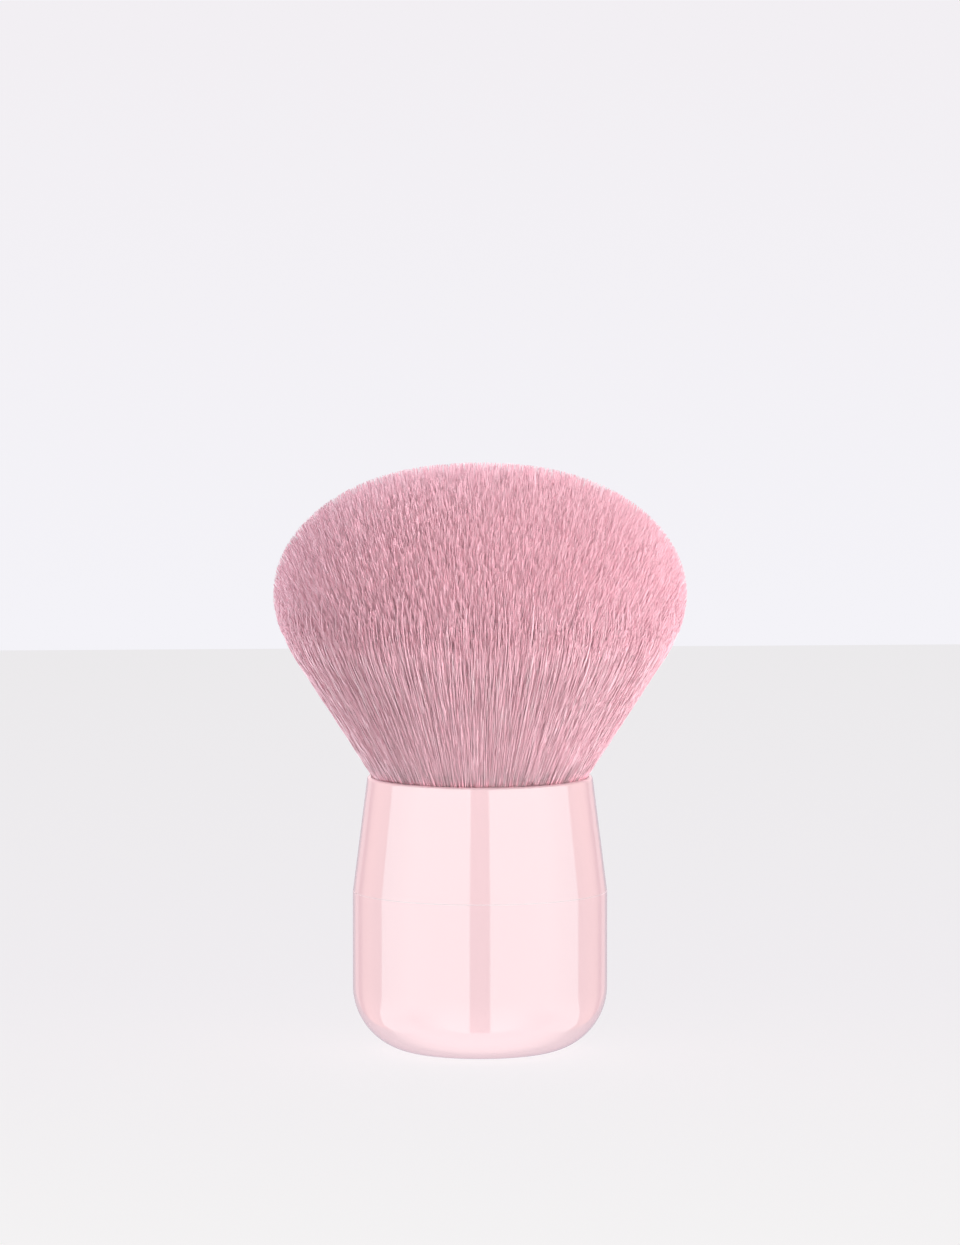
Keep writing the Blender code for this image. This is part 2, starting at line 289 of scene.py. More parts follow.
# The softboxes reach further round toward the table and fade: places are shares of a half turn
WRAP_DROP = 0.1
WRAP_RATE = 0.7
WRAP_LIMIT_SHARE = 0.147
WRAP_START_SHARE = 0.2
WRAP_END_SHARE = 0.4
WRAP_FADE = 2.4

# The light higher up, between two heights of the direction, and the share of it at each turn
LIFT = 1.6
LIFT_BOTTOM = -0.08
LIFT_TOP = 0.13
LIFT_SHARES = [
    (GAP_START, 0.55),
    (GAP_END, 0.20),
    (SOFTBOX_END, 0.20),
    (SIDE_START, 1.0),
]

# The softbox overhead
OVERHEAD_COLOUR = (9.0, 8.8, 8.6)
OVERHEAD_START = math.sin(math.radians(57))
OVERHEAD_FULL = math.sin(math.radians(60))

# The lit table, seen in the rounded foot on a plane one unit below, with its colours from near to far
TABLE_HALF_WIDTH = 0.71
TABLE_WIDENING = 0.341
TABLE_NEAR_EDGE = 0.435
TABLE_SHARPNESS = 25.0
TABLE_COLOUR_SCALE = 0.2
TABLE_COLOUR_START = 0.1
HORIZON_SHARPNESS = 1000.0
LEAST_DROP = 0.001
TABLE_COLOURS = [
    (0.0, (3.8, 3.7, 3.6)),
    (0.10, (3.25, 3.15, 3.05)),
    (0.19, (1.70, 1.75, 1.70)),
    (0.27, (0.42, 0.60, 0.62)),
    (0.44, (0.48, 0.46, 0.52)),
    (0.70, (0.50, 0.46, 0.54)),
    (1.0, (0.56, 0.52, 0.58)),
]


def tuft_outline():
    """Radii and heights of the tuft's outline, from its top down to its straight flank, and its slope."""
    angles = np.linspace(0, QUARTER_TURN, PROFILE_STEPS)
    dome_height = TUFT_TOP - WIDEST_HEIGHT
    radii = TUFT_RADIUS * np.sin(angles) ** (2 / DOME_EXPONENT_OUT)
    heights = WIDEST_HEIGHT + dome_height * np.cos(angles) ** (2 / DOME_EXPONENT_UP)
    # Below its widest place it draws in along a curve that ends in line with the flank.
    flank_slope = (FLANK_END_RADIUS - MOUTH_RADIUS) / (FLANK_END_HEIGHT - RIM_HEIGHT)
    turn_height = FLANK_END_HEIGHT + (TUFT_RADIUS - FLANK_END_RADIUS) / flank_slope
    way = np.linspace(0, 1, PROFILE_STEPS)[1:]
    first, second, third = (1 - way) ** 2, 2 * way * (1 - way), way**2
    radii = np.append(radii, (first + second) * TUFT_RADIUS + third * FLANK_END_RADIUS)
    lower = first * WIDEST_HEIGHT + second * turn_height + third * FLANK_END_HEIGHT
    return radii, np.append(heights, lower), flank_slope


OUTLINE_RADII, OUTLINE_HEIGHTS, FLANK_SLOPE = tuft_outline()
FAN_HEIGHT = RIM_HEIGHT - MOUTH_RADIUS / FLANK_SLOPE
BEND_RISE = BEND_HEIGHT - FAN_HEIGHT


def node(tree, kind, inputs=None, **settings):
    """A new shader node. Inputs are values or the sockets of other nodes."""
    made = tree.nodes.new(kind)
    for name, value in settings.items():
        setattr(made, name, value)
    for name, value in (inputs or {}).items():
        if isinstance(value, bpy.types.NodeSocket):
            tree.links.new(value, made.inputs[name])
        else:
            made.inputs[name].default_value = value
    return made


def computed(tree, operation, *values, clamp=False):
    """The output of a Math node."""
    inputs = dict(enumerate(values))
    return node(tree, "ShaderNodeMath", inputs, operation=operation, use_clamp=clamp).outputs[0]


def negative(tree, value):
    """A value times minus one."""
    return computed(tree, "MULTIPLY", value, -1.0)


def mapped(tree, value, start, end, low=0.0, high=1.0):
    """A value carried from the range between start and end to the one between low and high."""
    ranges = {"From Min": start, "From Max": end, "To Min": low, "To Max": high}
    return node(tree, "ShaderNodeMapRange", {"Value": value, **ranges}).outputs["Result"]


def blended(tree, factor, first, second, blend_type="MIX"):
    """The colour output of a Mix node."""
    made = node(tree, "ShaderNodeMix", data_type="RGBA", blend_type=blend_type)
    for socket, value in ((0, factor), (6, first), (7, second)):
        if isinstance(value, bpy.types.NodeSocket):
            tree.links.new(value, made.inputs[socket])
        elif socket == 0:
            made.inputs[socket].default_value = value
        else:
            made.inputs[socket].default_value = (*value, 1.0)
    return made.outputs[2]


def multiplied(tree, first, second, factor=1.0):
    """Two colours multiplied."""
    return blended(tree, factor, first, second, "MULTIPLY")


def grey_of(tree, value):
    """A colour with the same value in each channel."""
    return node(tree, "ShaderNodeCombineXYZ", {"X": value, "Y": value, "Z": value}).outputs[0]


def ramp(tree, factor, stops):
    """The colour output of a Color Ramp with stops of (position, colour)."""
    made = node(tree, "ShaderNodeValToRGB", {"Fac": factor})
    elements = made.color_ramp.elements
    while len(elements) < len(stops):
        elements.new(1.0)
    for element, (position, colour) in zip(elements, stops):
        element.position = position
        element.color = (*colour, 1.0)
    return made.outputs["Color"]


def axes_of(tree, vector):
    """The X, Y and Z outputs of a vector."""
    return node(tree, "ShaderNodeSeparateXYZ", {"Vector": vector}).outputs


def object_place(tree):
    """Where a point is on its object."""
    return node(tree, "ShaderNodeTexCoord").outputs["Object"]


def map_place(tree):
    """Where a point is on the map."""
    return node(tree, "ShaderNodeUVMap", uv_map=BAKE_MAP).outputs["UV"]


def streaks(tree, place, across, along, detail):
    """Noise with this many cells across the map and up it."""
    stretched = node(tree, "ShaderNodeMapping", {"Vector": place, "Scale": (across, along, 1.0)})
    noise = {"Vector": stretched.outputs[0], "Scale": 1.0, "Detail": detail}
    return node(tree, "ShaderNodeTexNoise", noise).outputs["Fac"]


def add_relief(tree, shader, height, strength, distance):
    """Bumps on a surface where a texture is high."""
    bump = node(tree, "ShaderNodeBump", {"Height": height, "Strength": strength, "Distance": distance})
    tree.links.new(bump.outputs["Normal"], shader.inputs["Normal"])


def new_material(name, roughness, **uniform):
    """A material, its node tree and its shader, with the values that are the same all over set on it."""
    made = bpy.data.materials.new(name)
    made.use_nodes = True
    shader = made.node_tree.nodes["Principled BSDF"]
    shader.inputs["Roughness"].default_value = roughness
    for socket, value in uniform.items():
        shader.inputs[socket.replace("_", " ")].default_value = value
    return made, made.node_tree, shader


def speckled(name, light, dark, roughness, scale, bump, **uniform):
    """A fine-grained surface: two close colours, an uneven gloss and a slight relief."""
    made, tree, shader = new_material(name, roughness, **uniform)
    noise = {"Vector": object_place(tree), "Scale": scale, "Detail": GRAIN_DETAIL}
    grain = node(tree, "ShaderNodeTexNoise", noise).outputs["Fac"]
    tree.links.new(blended(tree, grain, light, dark), shader.inputs["Base Color"])
    glossiest, dullest = roughness * (1 - GLOSS_SPREAD_SHARE), roughness * (1 + GLOSS_SPREAD_SHARE)
    tree.links.new(mapped(tree, grain, 0.0, 1.0, glossiest, dullest), shader.inputs["Roughness"])
    add_relief(tree, shader, grain, strength=0.3, distance=bump)
    return made


def glossy_plastic(name):
    """Moulded to a mirror gloss, with the faint unevenness of a real moulding and a painted highlight along
    the seam.
    """
    made = speckled(
        name,
        light=(0.990, 0.733, 0.768),
        dark=(0.980, 0.723, 0.758),
        roughness=0.045,
        scale=90.0,
        bump=0.000002,
        IOR=1.5,
    )
    tree = made.node_tree
    base = tree.nodes["Principled BSDF"].inputs["Base Color"]
    # A pale band at the seam's height is a painted highlight, where the cup's rounded edge mirrors the
    # light overhead.
    height = axes_of(tree, object_place(tree))["Z"]
    away = computed(tree, "ABSOLUTE", computed(tree, "SUBTRACT", height, PARTING_HEIGHT))
    off_seam_highlight = mapped(tree, away, SEAM_HIGHLIGHT_WIDTH / 2, SEAM_HIGHLIGHT_WIDTH)
    tree.links.new(blended(tree, off_seam_highlight, SEAM_HIGHLIGHT_COLOUR, base.links[0].from_socket), base)
    return made


def bristle_nylon(name, flecks_along, light):
    """Colour by fibre across the map, with painted light and shade by the place along the fibre up it, and
    fine flecks.
    """
    made, tree, shader = new_material(
        name, roughness=0.55, Sheen_Weight=0.4, Sheen_Roughness=0.5, Specular_IOR_Level=0.05
    )
    place = map_place(tree)
    axes = axes_of(tree, place)
    flecks = streaks(tree, place, FLECKS_ACROSS, flecks_along, detail=2.0)
    fleck_tone_and_glint = grey_of(tree, mapped(tree, flecks, *FLECK_RANGE, *FLECK_TONE_AND_GLINT))
    colour = multiplied(tree, ramp(tree, axes["X"], TINT_COLOURS), fleck_tone_and_glint)
    # Painted light and shade along the fibre, by its height on the map.
    colour = multiplied(tree, colour, ramp(tree, axes["Y"], light))
    tree.links.new(colour, shader.inputs["Base Color"])
    return made


def packed_nylon():
    """The mass of fibres under the outer ones: streaks that run up it, in dark colours that paint the shade
    deep in the tuft.
    """
    made, tree, shader = new_material("packed_nylon", roughness=0.7)
    streak = streaks(tree, map_place(tree), *CORE_STREAKS, detail=3.0)
    tree.links.new(ramp(tree, streak, CORE_SHADE_COLOURS), shader.inputs["Base Color"])
    add_relief(tree, shader, streak, strength=0.6, distance=0.0002)
    return made


def finish_inner_nodes():
    """Materials of the CAD pieces that stay: all of them are inside the handle."""
    finishes = {
        "ferrule_cup": speckled(
            "bare_aluminium",
            light=(0.84, 0.85, 0.87),
            dark=(0.74, 0.75, 0.77),
            roughness=0.32,
            scale=900.0,
            bump=0.00002,
            Metallic=1.0,
        ),
        "weight_disc": speckled(
            "zinc_plated_steel",
            light=(0.66, 0.67, 0.70),
            dark=(0.55, 0.56, 0.58),
            roughness=0.38,
            scale=700.0,
            bump=0.00002,
            Metallic=1.0,
        ),
        "resin_plug": speckled(
            "clear_epoxy",
            light=(0.82, 0.72, 0.50),
            dark=(0.76, 0.64, 0.42),
            roughness=0.18,
            scale=300.0,
            bump=0.00001,
        ),
        "weight_adhesive": speckled(
            "white_hot_melt",
            light=(0.88, 0.87, 0.82),
            dark=(0.82, 0.81, 0.76),
            roughness=0.5,
            scale=350.0,
            bump=0.00005,
        ),
        "joint_adhesive": speckled(
            "joint_cement",
            light=(0.90, 0.88, 0.84),
            dark=(0.84, 0.82, 0.78),
            roughness=0.35,
            scale=400.0,
            bump=0.00003,
        ),
        "binding_thread": speckled(
            "cotton_thread",
            light=(0.88, 0.83, 0.79),
            dark=(0.74, 0.68, 0.64),
            roughness=0.9,
            scale=1800.0,
            bump=0.00010,
        ),
    }
    for name, finish in finishes.items():
        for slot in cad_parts[name].material_slots:
            slot.material = finish


def arc(centre_radius, centre_height, radius, start, end):
    """Outline points on an arc from one angle to another, both ends included. Angle 0 points outward."""
    angles = [start + (end - start) * step / ARC_STEPS for step in range(ARC_STEPS + 1)]
    return [
        (centre_radius + radius * math.cos(angle), centre_height + radius * math.sin(angle))
        for angle in angles
    ]


def straight(start, end):
    """The inner points of a straight run, one near each end, which keep its shading flat."""
    share = SUPPORT / math.dist(start, end)
    return [
        (start[0] + (end[0] - start[0]) * way, start[1] + (end[1] - start[1]) * way)
        for way in (share, 1 - share)
    ]


def turned(name, outline):
    """A shell turned about Z from (radius, height) points that loop, or start and end on the axis."""
    bm = bmesh.new()
    corners = [bm.verts.new((radius, 0, height)) for radius, height in outline]
    edges = [bm.edges.new(pair) for pair in zip(corners, corners[1:])]
    if outline[0][0] != 0:
        edges.append(bm.edges.new((corners[-1], corners[0])))
    bmesh.ops.spin(
        bm,
        geom=corners + edges,
        axis=(0, 0, 1),
        cent=(0, 0, 0),
        dvec=(0, 0, 0),
        angle=FULL_TURN,
        steps=TURN_STEPS,
    )
    bmesh.ops.remove_doubles(bm, verts=bm.verts, dist=MERGE_DISTANCE)
    bmesh.ops.recalc_face_normals(bm, faces=bm.faces)
    mesh = bpy.data.meshes.new(name)
    bm.to_mesh(mesh)
    bm.free()
    mesh.shade_smooth()
    mesh.set_sharp_from_angle(angle=SHARP_ANGLE)
    shell = bpy.data.objects.new(name, mesh)
    bpy.context.scene.collection.objects.link(shell)
    return shell


def cup_shell():
    """The lower shell: a cylinder with a large rounded corner, a flat foot and an open top."""
    foot_radius = HANDLE_RADIUS - CORNER_RADIUS
    bore_radius = HANDLE_RADIUS - CUP_WALL
    corner = arc(foot_radius, CORNER_RADIUS, CORNER_RADIUS, -QUARTER_TURN, 0)
    edge = arc(
        HANDLE_RADIUS - CUP_EDGE_FILLET,
        PARTING_HEIGHT - CUP_EDGE_FILLET,
        CUP_EDGE_FILLET,
        0,
        QUARTER_TURN,
    )
    inner_corner = arc(foot_radius, CORNER_RADIUS, CORNER_RADIUS - CUP_WALL, 0, -QUARTER_TURN)
    inner_corner = [point for point in inner_corner if point[1] > FLOOR_THICKNESS]
    outline = [(0, 0), *straight((0, 0), corner[0]), *corner]
    outline += [*straight(corner[-1], edge[0]), *edge, (bore_radius, PARTING_HEIGHT)]
    outline += [*inner_corner, (inner_corner[-1][0], FLOOR_THICKNESS), (0, FLOOR_THICKNESS)]
    shell = turned("cup_shell", outline)
    shell.data.materials.append(glossy_plastic("cup_plastic"))
    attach(shell, "root")
    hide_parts("base_cup")
    return shell


def collar_shell():
    """The upper shell: it tapers in to a thin rounded lip, and its spigot sits inside the cup."""
    rim_radius = HANDLE_RADIUS - COLLAR_TAPER
    socket_radius = rim_radius - SOCKET_WALL
    spigot_radius = HANDLE_RADIUS - CUP_WALL - CLEARANCE
    bottom = PARTING_HEIGHT + PARTING_GAP
    ledge_top = FERRULE_BOTTOM - CLEARANCE
    taper_angle = math.atan2(COLLAR_TAPER, RIM_HEIGHT - bottom)
    edge = arc(
        HANDLE_RADIUS - PARTING_STEP - COLLAR_EDGE_FILLET,
        bottom + COLLAR_EDGE_FILLET,
        COLLAR_EDGE_FILLET,
        -QUARTER_TURN,
        taper_angle,
    )
    # The mouth flares along the bristles, so its top edge is thin and rounded.
    flare_angle = math.atan(FLANK_SLOPE)
    lip_height = RIM_HEIGHT + LIP_RISE
    flare_radius = MOUTH_RADIUS + LIP_RISE * FLANK_SLOPE + LIP_SLACK
    flare_drop = (flare_radius - socket_radius) / FLANK_SLOPE
    shoulder_radius = rim_radius + LIP_FILLET * math.tan(taper_angle) - LIP_FILLET / math.cos(taper_angle)
    shoulder = arc(shoulder_radius, lip_height - LIP_FILLET, LIP_FILLET, taper_angle, LIP_ROUNDING)
    edge_radius = flare_radius + LIP_EDGE / math.cos(flare_angle)
    edge_height = shoulder[-1][1] - LIP_EDGE * math.sin(LIP_ROUNDING)
    lip_edge = arc(edge_radius, edge_height, LIP_EDGE, LIP_ROUNDING, HALF_TURN - flare_angle)
    outline = [*edge, *straight(edge[-1], shoulder[0]), *shoulder, *lip_edge]
    outline += [
        (socket_radius, lip_height - flare_drop),
        (socket_radius, ledge_top),
        (socket_radius - LEDGE_WIDTH, ledge_top),
        (socket_radius - LEDGE_WIDTH, ledge_top - LEDGE_THICKNESS),
        (spigot_radius - SPIGOT_WALL, ledge_top - LEDGE_THICKNESS),
        (spigot_radius - SPIGOT_WALL, SPIGOT_BOTTOM),
        (spigot_radius - CLEARANCE, SPIGOT_BOTTOM),
        (spigot_radius - CLEARANCE, bottom),
    ]
    shell = turned("collar_shell", outline)
    shell.data.materials.append(glossy_plastic("collar_plastic"))
    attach(shell, "root")
    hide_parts("collar")
    return shell


def rise_at(slopes):
    """How far above the fan's centre a line of each slope (radius over rise) leaves the tuft."""
    rises = OUTLINE_HEIGHTS - FAN_HEIGHT
    return np.interp(slopes, OUTLINE_RADII / rises, rises)


def folded(slopes, widest):
    """Slopes, with those wider than this turned back inward by as much as they pass it."""
    size = np.hypot(slopes[:, 0], slopes[:, 1])
    return slopes * (1 - 2 * np.maximum(size - widest, 0) / np.maximum(size, widest))[:, None]


def tip_slopes(rng):
    """The slopes at which the fibres end: a spiral that fills the fan evenly, a little disturbed."""
    number = np.arange(FIBRES)
    spacing = math.sqrt(HALF_TURN / FIBRES) * FLANK_SLOPE
    size = np.sqrt((number + 0.5) / FIBRES) * FLANK_SLOPE
    turn = number * GOLDEN_TURN
    centres = size[:, None] * np.stack((np.cos(turn), np.sin(turn)), 1)
    offsets = rng.normal(size=(FIBRES, 2)) * JITTER_SHARE * spacing
    return folded(centres + offsets, FLANK_SLOPE * (1 - BASE_INSET_SHARE))


def root_slopes(rng, tips):
    """The slopes at which the fibres start, each a little aside from where it ends."""
    outward = tips / np.maximum(np.hypot(tips[:, 0], tips[:, 1]), LEAST_SLOPE)[:, None]
    sideways = np.stack((-outward[:, 1], outward[:, 0]), 1)
    drift = outward * rng.normal(size=(FIBRES, 1)) * DRIFT_IN
    drift = drift + sideways * rng.normal(size=(FIBRES, 1)) * DRIFT_ROUND
    return folded(tips + drift, FLANK_SLOPE)


def fibre_fan(rng):
    """For each fibre, its slopes at its ends, its reach outward, its tip's depth, its tint and its wave."""
    tips = tip_slopes(rng)
    roots = root_slopes(rng, tips)
    reach = np.hypot(tips[:, 0], tips[:, 1]) / FLANK_SLOPE
    is_long = rng.uniform(size=FIBRES) < LONG_SHARE
    way = rng.uniform(size=FIBRES)
    short_depth = LONG_DEPTH + way * (SHORT_DEPTH - LONG_DEPTH)
    depth = np.where(is_long, way**LONG_DEPTH_POWER * LONG_DEPTH, short_depth)
    # Short fibres near the flank end at scattered heights, so their tips make no line round the tuft.
    edge = np.interp(reach, EDGE_SHARES, (0, 1))
    scatter = edge * rng.uniform(size=FIBRES) ** EDGE_DEPTH_POWER * EDGE_DEPTH
    # Short fibres get the paler mean tint, as painted light in the shaded gaps.
    mean = np.where(is_long, LONG_TINT[0], SHORT_TINT[0])
    spread = np.where(is_long, LONG_TINT[1], SHORT_TINT[1])
    return {
        "roots": roots,
        "tips": tips,
        "reach": reach,
        "depth": depth + np.where(is_long, 0, scatter),
        "tint": np.clip(mean + rng.normal(size=FIBRES) * spread, 0, PALEST_TINT),
        "twist": rng.uniform(0, FULL_TURN, FIBRES),
        "phase": rng.uniform(0, FULL_TURN, FIBRES),
        "cycles": rng.uniform(*WAVE_CYCLES, FIBRES),
        "heading": rng.uniform(0, FULL_TURN, FIBRES),
    }


def fibre_lines(fan, rises, tip_rises):
    """Centre lines of fibres at these rises above the fan's centre, as (fibres, rings, 3)."""
    way = np.clip((rises - BEND_RISE) / (tip_rises - BEND_RISE)[:, None], 0, 1)
    slopes = fan["roots"][:, None] + (fan["tips"] - fan["roots"])[:, None] * way[..., None]
    flat = slopes * rises[..., None]
    wave = WAVE * np.sin(way * fan["cycles"][:, None] * FULL_TURN + fan["phase"][:, None]) * way
    flat[..., 0] += wave * np.cos(fan["heading"])[:, None]
    flat[..., 1] += wave * np.sin(fan["heading"])[:, None]
    return np.concatenate((flat, (rises + FAN_HEIGHT)[..., None]), 2), way


def unit(vectors):
    """Vectors with their length set to one."""
    return vectors / np.linalg.norm(vectors, axis=-1, keepdims=True)


def tube_points(lines, radii, tips, twist):
    """The corners of a tube round each line, ring by ring, and then its tip, as (fibres, points, 3)."""
    count, rings, _ = lines.shape
    runs = unit(np.diff(np.concatenate((lines, tips[:, None]), 1), axis=1))
    ahead = unit(np.concatenate((runs[:, :1], runs[:, :-1] + runs[:, 1:]), 1))
    aside = unit(np.cross(ahead, np.array(SIDE_HINT)))
    above = np.cross(ahead, aside)
    corners = []
    for side in range(FIBRE_SIDES):
        angle = twist[:, None, None] + FULL_TURN * side / FIBRE_SIDES
        outward = aside * np.cos(angle) + above * np.sin(angle)
        corners.append(lines + outward * radii[..., None])
    tube = np.stack(corners, 2).reshape(count, rings * FIBRE_SIDES, 3)
    return np.concatenate((tube, tips[:, None]), 1)


def tube_faces(rings):
    """The faces of one tube: their points, and the side and the ring at which each is on the map."""
    faces = []
    for ring in range(rings - 1):
        low, high = ring * FIBRE_SIDES, (ring + 1) * FIBRE_SIDES
        for side in range(FIBRE_SIDES):
            following = (side + 1) % FIBRE_SIDES
            points = (low + side, low + following, high + following, high + side)
            faces.append((points, (side, side + 1, side + 1, side), (ring, ring, ring + 1, ring + 1)))
    last = (rings - 1) * FIBRE_SIDES
    for side in range(FIBRE_SIDES):
        points = (last + side, last + (side + 1) % FIBRE_SIDES, last + FIBRE_SIDES)
        faces.append((points, (side, side + 1, side + 0.5), (rings - 1, rings - 1, rings)))
    # The face at the root takes one corner from the next ring up, so that it has an area on the map.
    faces.append(((2, 1, 0), (2, 1, 0), (0, 1, 0)))
    return faces


def fibre_mesh(name, lines, radii, tips, marks, fan):
    """One closed tube for each line, with a point at its tip, as a single piece. Marks run up the map."""
    points = tube_points(lines, radii, tips, fan["twist"])
    count, per_fibre, _ = points.shape
    faces = tube_faces(lines.shape[1])
    corners, sides, rings = (np.concatenate(column) for column in zip(*faces))
    loops = corners + (np.arange(count) * per_fibre)[:, None]
    totals = np.tile([len(face[0]) for face in faces], count)

    strip = np.floor(fan["tint"] * TINTS)[:, None] + STRIP_MARGIN_SHARE
    across = (strip + (1 - 2 * STRIP_MARGIN_SHARE) * (sides / FIBRE_SIDES)) / TINTS
    along = np.concatenate((marks, np.ones((count, 1))), 1)[:, rings]
    places = np.stack((across, along), 2)

    mesh = bpy.data.meshes.new(name)
    mesh.vertices.add(count * per_fibre)
    mesh.vertices.foreach_set("co", points.astype(np.float32).ravel())
    mesh.loops.add(loops.size)
    mesh.loops.foreach_set("vertex_index", loops.astype(np.int32).ravel())
    mesh.polygons.add(len(totals))
    mesh.polygons.foreach_set("loop_start", (np.cumsum(totals) - totals).astype(np.int32))
    mesh.uv_layers.new(name=BAKE_MAP).data.foreach_set("uv", places.astype(np.float32).ravel())
    mesh.update(calc_edges=True)
    mesh.shade_smooth()
    piece = bpy.data.objects.new(name, mesh)
    bpy.context.scene.collection.objects.link(piece)
    return piece


def fitted(piece, surface):
    """A piece of the tuft with its material and its body, with the CAD tuft hidden in its place."""
    piece.data.materials.append(surface)
    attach(piece, "root")
    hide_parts("bristle_tuft")
    return piece


def part_of(fan, chosen):
    """The same table for only some of its fibres."""
    return {name: values[chosen] for name, values in fan.items()}


def bristle_piece(name, fan, surface, whole):
    """Fibres as one piece: whole ones from the socket up, or only the ends that show in the crown."""
    slopes = np.hypot(fan["tips"][:, 0], fan["tips"][:, 1])
    leans = np.sqrt(1 + slopes**2)
    tip_rises = rise_at(slopes) - fan["depth"] / leans
    if whole:
        rises = BEND_RISE + (tip_rises - BEND_RISE)[:, None] * np.array(FLANK_RING_SHARES)
    else:
        rises = tip_rises[:, None] - np.array(CROWN_RING_DEPTHS) / leans[:, None]
    lines, way = fibre_lines(fan, rises, tip_rises)
    tips, _ = fibre_lines(fan, tip_rises[:, None], tip_rises)
    to_tip = (tip_rises[:, None] - rises) * leans[:, None]
    taper = TIP_THICKNESS_SHARE + (1 - TIP_THICKNESS_SHARE) * np.clip(to_tip / TAPER_LENGTH, 0, 1)
    swell = ROOT_THICKNESS_SHARE + (1 - ROOT_THICKNESS_SHARE) * np.clip(way * SWELL_PACE, 0, 1)
    marks = way if whole else 1 - to_tip / CROWN_RING_DEPTHS[0]
    piece = fibre_mesh(name, lines, FIBRE_RADIUS * taper * swell, tips[:, 0], marks, fan)
    return fitted(piece, surface)


def bristle_pieces(fan, chosen, zone, most, surface, whole):
    """The chosen fibres as pieces of limited size, in order from the middle of the fan outward."""
    numbers = np.flatnonzero(chosen)
    numbers = numbers[np.argsort(fan["reach"][numbers], kind="stable")]
    groups = np.array_split(numbers, math.ceil(len(numbers) / most))
    return [
        bristle_piece(f"bristles_{zone}_{place}", part_of(fan, group), surface, whole)
        for place, group in enumerate(groups, 1)
    ]


def strand_lines(rng):
    """Centre lines of the strands, dipping at both ends, and how far up the flank their points are."""
    heights = rng.triangular(FAN_HEIGHT, FLANK_END_HEIGHT, STRAND_TOP, STRANDS)
    middles = heights[heights > BEND_HEIGHT] - FAN_HEIGHT
    count = len(middles)
    lean = math.sqrt(1 + FLANK_SLOPE**2)
    halves = rng.uniform(*STRAND_HALF_LENGTHS, count)
    places = np.linspace(-1, 1, STRAND_RINGS + 1)
    rises = middles[:, None] + halves[:, None] * places / lean
    outline = np.interp(rises + FAN_HEIGHT, OUTLINE_HEIGHTS[::-1], OUTLINE_RADII[::-1])
    depths = rng.uniform(size=(count, 1)) * STRAND_DEPTH + STRAND_DIP * places**2
    up = (rises + FAN_HEIGHT - FLANK_END_HEIGHT) / (STRAND_TOP - FLANK_END_HEIGHT)
    depths = depths + STRAND_SINK * np.clip(up, 0, 1)
    radii = np.minimum(FLANK_SLOPE * rises, np.maximum(outline, FLANK_END_RADIUS)) - depths * lean
    aside = halves[:, None] * places * np.tan(rng.normal(size=(count, 1)) * STRAND_LEAN)
    turns = rng.uniform(0, FULL_TURN, (count, 1)) + aside / radii
    lines = np.stack((radii * np.cos(turns), radii * np.sin(turns), rises + FAN_HEIGHT), 2)
    return lines, np.clip((rises - BEND_RISE) / (STRAND_TOP - FAN_HEIGHT - BEND_RISE), 0, 1)


def strands(rng, surface):
    """Short stretches of single fibres along the flank, each with both ends under the others."""
    lines, marks = strand_lines(rng)
    count = len(lines)
    mean, spread = STRAND_TINT
    fan = {
        "twist": rng.uniform(0, FULL_TURN, count),
        "tint": np.clip(mean + rng.normal(size=count) * spread, 0, PALEST_TINT),
    }
    thickness = np.full((count, STRAND_RINGS), STRAND_RADIUS)
    groups = np.array_split(np.arange(count), math.ceil(count / STRANDS_PER_PIECE))
    pieces = []
    for place, group in enumerate(groups, 1):
        piece = fibre_mesh(
            f"bristles_strands_{place}",
            lines[group, :-1],
            thickness[group],
            lines[group, -1],
            marks[group, :-1],
            part_of(fan, group),
        )
        pieces.append(fitted(piece, surface))
    return pieces


def bristles():
    """All the fibres that show: those of the flank and of the crown, and the strands."""
    rng = np.random.default_rng(SEED)
    fan = fibre_fan(rng)
    in_flank = fan["reach"] >= FLANK_SHARE
    flank = bristle_nylon("flank_nylon", FLANK_FLECKS_ALONG, FLANK_PAINTED_LIGHT)
    crown = bristle_nylon("crown_nylon", CROWN_FLECKS_ALONG, CROWN_PAINTED_LIGHT)
    strand = bristle_nylon("strand_nylon", FLANK_FLECKS_ALONG, FLANK_PAINTED_LIGHT)
    return [
        *bristle_pieces(fan, in_flank, "flank", FLANK_FIBRES_PER_PIECE, flank, whole=True),
        *bristle_pieces(fan, ~in_flank, "crown", CROWN_FIBRES_PER_PIECE, crown, whole=False),
        *strands(rng, strand),
    ]


def wrap_map(mesh, bottom, top):
    """A map that goes once round the axis across it, and from the bottom to the top up it."""
    flat = mesh.uv_layers.new(name=BAKE_MAP).data
    for polygon in mesh.polygons:
        points = [mesh.vertices[corner].co for corner in polygon.vertices]
        turns = [math.atan2(point.y, point.x) / FULL_TURN % 1 for point in points if point.xy.length]
        middle = turns[0]
        for loop, point in zip(polygon.loop_indices, points):
            turn = math.atan2(point.y, point.x) / FULL_TURN % 1 if point.xy.length else middle
            turn += round(middle - turn)
            flat[loop].uv = (turn, (point.z - bottom) / (top - bottom))


def bristle_core():
    """The opaque mass of fibres just under the ones that show."""
    slopes = np.sin(np.linspace(0, QUARTER_TURN, CORE_STEPS)) * FLANK_SLOPE
    rises = rise_at(slopes) - CORE_DEPTH / np.sqrt(1 + slopes**2)
    inset = 1 - (1 - FLANK_SHARE) * (slopes / FLANK_SLOPE) ** CORE_INSET_POWER
    outline = list(zip(slopes * inset * rises, rises + FAN_HEIGHT))
    outline[0] = (0, outline[0][1])
    bend = BEND_RISE + FAN_HEIGHT
    outline += [(FLANK_SLOPE * FLANK_SHARE * BEND_RISE, bend), (0, bend)]
    core = turned("bristle_core", outline)
    wrap_map(core.data, bend, TUFT_TOP)
    return fitted(core, packed_nylon())


